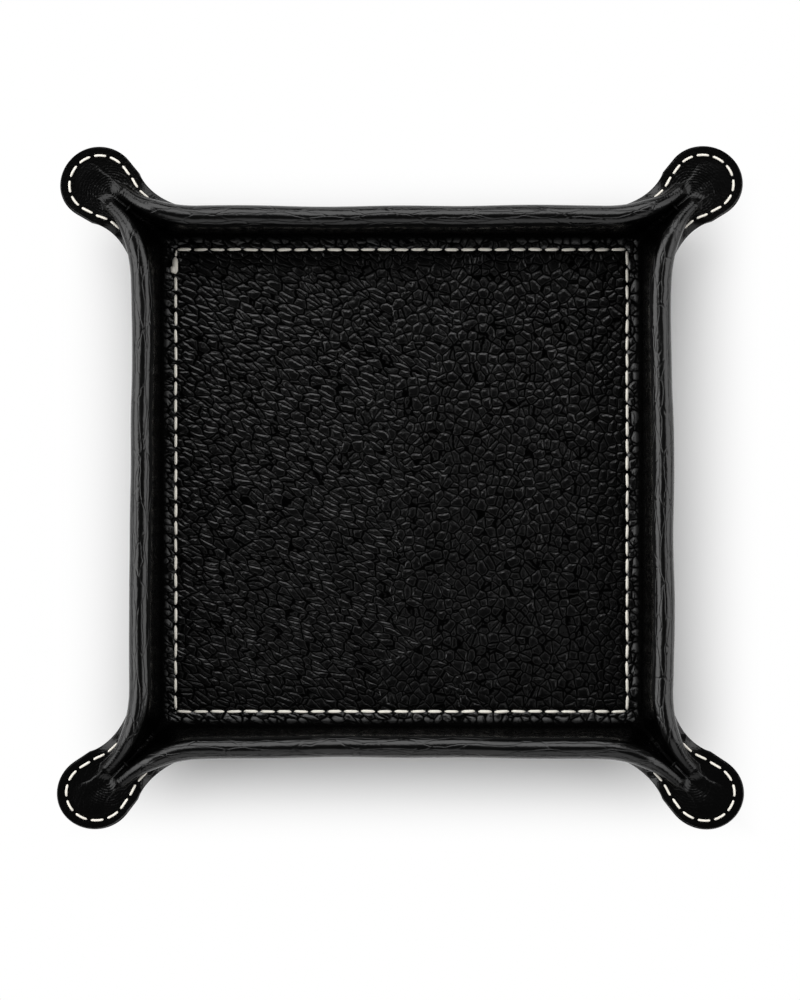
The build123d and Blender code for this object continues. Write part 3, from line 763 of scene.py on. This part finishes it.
leather = blackLeather("pebbledLeather")
creamThread = fibrous("creamThread", (0.93, 0.89, 0.8))
blackThread = fibrous("blackThread", (0.002, 0.002, 0.002))
fibreBoard = fibrous("fibreBoard", (0.3, 0.24, 0.17))
finishes = [
    (lining, leather, "lining_leather", "lining_leather"),
    (outer, leather, "outer_leather", "outer_leather"),
    (floorNeedle, creamThread, "floor_needle_thread", "seam_thread"),
    (floorBobbin, creamThread, "floor_bobbin_thread", "seam_thread"),
    (edgeNeedle, creamThread, "edge_needle_thread", "seam_thread"),
    (edgeBobbin, creamThread, "edge_bobbin_thread", "seam_thread"),
] + [(tack, blackThread, "corner_tack_" + name, "tack_thread") for name, tack in tacks.items()]
for piece, made, node, slot in finishes:
    piece.data.materials.append(made)
    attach(piece, "root")
    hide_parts(node)
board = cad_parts["base_board"]
board.data.materials.clear()
board.data.materials.append(fibreBoard)
print("materials set")

# Table, light and camera
studio = {
    "tableSize": 20.0, "world": 0.017, "back": 2.75, "left": 3.0, "right": 2.15, "front": 0.9,
    "backLampSize": 1.05, "lampSize": 0.95, "cardTone": 0.82,
    "whiteShift": (-0.003, 0.006, 0), "whiteWidth": 0.96, "whiteFrom": 0.066, "whiteTo": 0.096,
}
bpy.ops.mesh.primitive_grid_add(x_subdivisions=2, y_subdivisions=2, size=studio["tableSize"])
table = bpy.context.object
table.name = "table"


def paleTable(name):
    # lit card beside the tray, where it takes the shadows. Further out it goes over to a white that
    # glows by itself for the camera and in reflections, and casts no diffuse light
    made, nodes, links, shader = material(name)
    shader.inputs["Base Color"].default_value = (studio["cardTone"], studio["cardTone"], studio["cardTone"], 1)
    shader.inputs["Roughness"].default_value = 1.0
    shader.inputs["Specular IOR Level"].default_value = 0.0
    shifted = nodes.new("ShaderNodeVectorMath")
    shifted.inputs[1].default_value = studio["whiteShift"]
    links.new(nodes.new("ShaderNodeTexCoord").outputs["Object"], shifted.inputs[0])
    outward = nodes.new("ShaderNodeVectorMath")
    outward.operation = "ABSOLUTE"
    squeezed = stretched(nodes, links, shifted.outputs["Vector"], 0, (studio["whiteWidth"], 1, 1))
    links.new(squeezed, outward.inputs[0])
    split = nodes.new("ShaderNodeSeparateXYZ")
    links.new(outward.outputs["Vector"], split.inputs[0])
    away = computed(nodes, links, "MAXIMUM", split.outputs["X"], split.outputs["Y"])
    far = smoothStep(nodes, links, away, studio["whiteFrom"], studio["whiteTo"])
    ray = nodes.new("ShaderNodeLightPath").outputs
    seen = computed(nodes, links, "MAXIMUM", ray["Is Camera Ray"], ray["Is Glossy Ray"])
    seen = computed(nodes, links, "MAXIMUM", seen, ray["Is Transmission Ray"])
    mixed = nodes.new("ShaderNodeMixShader")
    links.new(computed(nodes, links, "MULTIPLY", far, seen), mixed.inputs[0])
    links.new(shader.outputs[0], mixed.inputs[1])
    links.new(nodes.new("ShaderNodeEmission").outputs[0], mixed.inputs[2])
    links.new(mixed.outputs[0], nodes["Material Output"].inputs["Surface"])
    return made


table.data.materials.append(paleTable("paleTable"))

world = bpy.data.worlds.new("studio")
world.use_nodes = True
world.node_tree.nodes["Background"].inputs["Color"].default_value = (1, 1, 1, 1)
world.node_tree.nodes["Background"].inputs["Strength"].default_value = studio["world"]
bpy.context.scene.world = world


def softLamp(name, place, size, glow):
    # a square lamp turned towards the tray; its power is glow times pi times its area
    lamp = bpy.data.lights.new(name, "AREA")
    lamp.shape = "SQUARE"
    lamp.size = size
    lamp.energy = glow * np.pi * size ** 2
    holder = bpy.data.objects.new(name, lamp)
    bpy.context.collection.objects.link(holder)
    holder.location = place
    holder.rotation_mode = "QUATERNION"
    holder.rotation_quaternion = (-holder.location).to_track_quat("-Z", "Y")


softLamp("backLamp", (-0.12, 0.85, 0.85), studio["backLampSize"], studio["back"])
softLamp("leftLamp", (-0.85, 0.1, 0.62), studio["lampSize"], studio["left"])
softLamp("rightLamp", (0.85, 0.1, 0.62), studio["lampSize"], studio["right"])
softLamp("frontLamp", (0.1, -0.85, 0.62), studio["lampSize"], studio["front"])

# The picture is as high as this share of the distance
shot = {"sensor": 36, "viewShare": 0.275, "place": (-0.0004, -0.0044, 1.03)}
cameraData = bpy.data.cameras.new("camera")
cameraData.sensor_fit = "VERTICAL"
cameraData.sensor_height = shot["sensor"]
cameraData.sensor_width = shot["sensor"]
cameraData.lens = shot["sensor"] / shot["viewShare"]
camera = bpy.data.objects.new("camera", cameraData)
camera.location = shot["place"]
bpy.context.collection.objects.link(camera)
bpy.context.scene.camera = camera
bpy.context.scene.view_settings.view_transform = "Standard"
print("studio ready")
